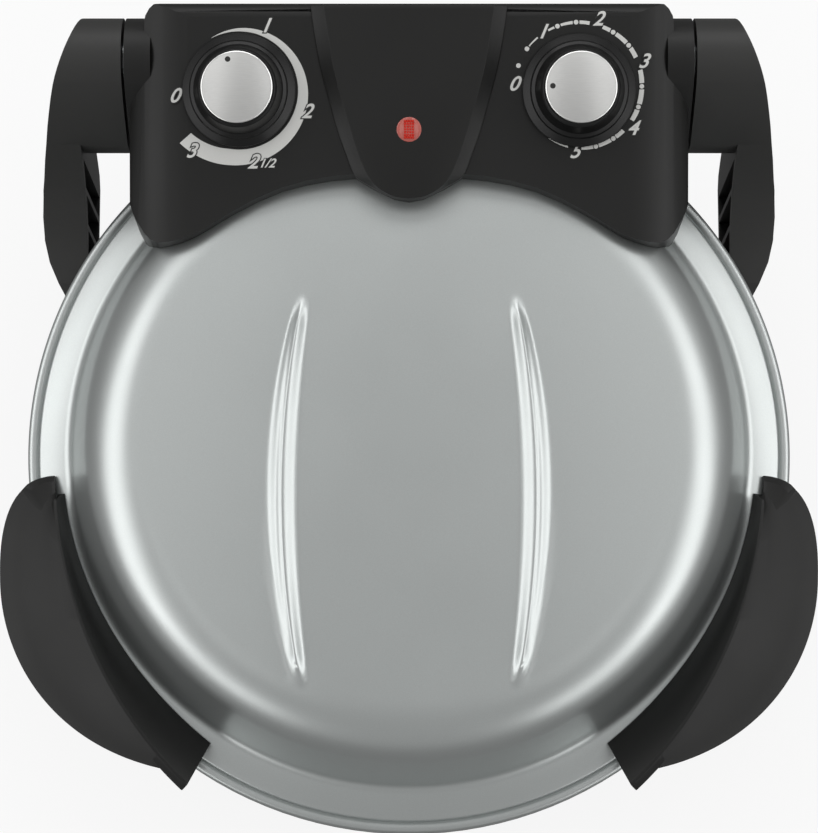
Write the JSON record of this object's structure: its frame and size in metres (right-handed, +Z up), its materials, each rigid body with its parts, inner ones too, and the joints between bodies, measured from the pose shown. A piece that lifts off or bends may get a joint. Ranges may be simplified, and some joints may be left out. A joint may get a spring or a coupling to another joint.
{
  "type": "electric pizza maker",
  "caption": "Round counter-top pizza oven with a domed metal lid on rear hinge arms, a control housing with knobs and a lamp, front handles and a baking stone inside.",
  "frame": {"origin": "centre of the bounding box on the table, under the feet", "axes": "+Z up, -Y to the front with the handles, +Y to the hinge and controls, X along the hinge"},
  "size_m": [0.3546, 0.3536, 0.1738],
  "materials": {
    "lid_enamel": "satin silver-grey stoved paint on pressed steel",
    "base_enamel": "black stoved paint on pressed steel",
    "aluminized_steel": "rolled aluminized steel sheet",
    "fired_clay": "unglazed cordierite, stands for fired clay",
    "heater_sheath": "oxidised steel sheath of a tubular heater",
    "spring_steel": "bent sheet steel",
    "ceramic": "glazed ceramic, stands for steatite",
    "black_plastic": "moulded black heat-resistant plastic, satin",
    "zinc_steel": "zinc-plated steel",
    "rubber": "black moulded rubber",
    "silicone_sleeve": "red-brown silicone-coated glass sleeve",
    "white_sleeve": "white wire insulation",
    "knob_metal": "satin silver cap",
    "lens_red": "clear red moulded lens",
    "lamp_glass": "clear glass bulb",
    "beige_plastic": "moulded beige plastic"
  },
  "bodies": {
    "base": {"base_shell": "base_enamel", "base_reflector": "aluminized_steel", "baking_stone": "fired_clay", "lower_heater": "heater_sheath", "lower_heater_clips": "spring_steel", "lower_heater_bushes": "ceramic", "left_hinge_arm": "black_plastic", "right_hinge_arm": "black_plastic", "left_hinge_pin": "zinc_steel", "right_hinge_pin": "zinc_steel", "hinge_washers": "zinc_steel", "pin_clips": "zinc_steel", "arm_screws": "zinc_steel", "left_base_handle": "black_plastic", "right_base_handle": "black_plastic", "base_handle_screws": "zinc_steel", "rubber_feet": "rubber", "feet_screws": "zinc_steel", "heater_lead": "silicone_sleeve"},
    "lid": {"lid_shell": "lid_enamel", "lid_reflector": "aluminized_steel", "upper_heater": "heater_sheath", "upper_heater_clips": "spring_steel", "upper_heater_bushes": "ceramic", "left_lid_handle": "black_plastic", "right_lid_handle": "black_plastic", "lid_handle_screws": "zinc_steel", "control_housing": "black_plastic", "housing_cover": "zinc_steel", "housing_screws": "zinc_steel", "lamp_lens": "lens_red", "lens_clip": "spring_steel", "neon_lamp": "lamp_glass", "thermostat_body": "ceramic", "thermostat_nut": "zinc_steel", "timer_body": "beige_plastic", "timer_bell": "zinc_steel", "timer_nut": "zinc_steel", "terminal_block": "beige_plastic", "thermal_cutout": "spring_steel", "control_wires": "white_sleeve", "cord_gland": "rubber"},
    "temp_knob": {"temp_knob_skirt": "black_plastic", "temp_knob_cap": "knob_metal", "thermostat_shaft": "zinc_steel"},
    "timer_knob": {"timer_knob_skirt": "black_plastic", "timer_knob_cap": "knob_metal", "timer_shaft": "zinc_steel"}
  },
  "joints": [
    {"name": "lid_hinge", "type": "hinge", "parent": "base", "child": "lid", "pos_m": [0, 0.15125, 0.134], "axis": [-1, 0, 0], "range_deg": [0, 100]},
    {"name": "temp_knob_turn", "type": "hinge", "parent": "lid", "child": "temp_knob", "pos_m": [-0.072, 0.13285, 0.15128], "axis": [0, -0.1994, 0.9799], "range_deg": [-236, 78]},
    {"name": "timer_knob_turn", "type": "hinge", "parent": "lid", "child": "timer_knob", "pos_m": [0.072, 0.13285, 0.15128], "axis": [0, -0.1994, 0.9799], "range_deg": [-280, 0], "stiffness_Nm_per_rad": 0.001}
  ]
}
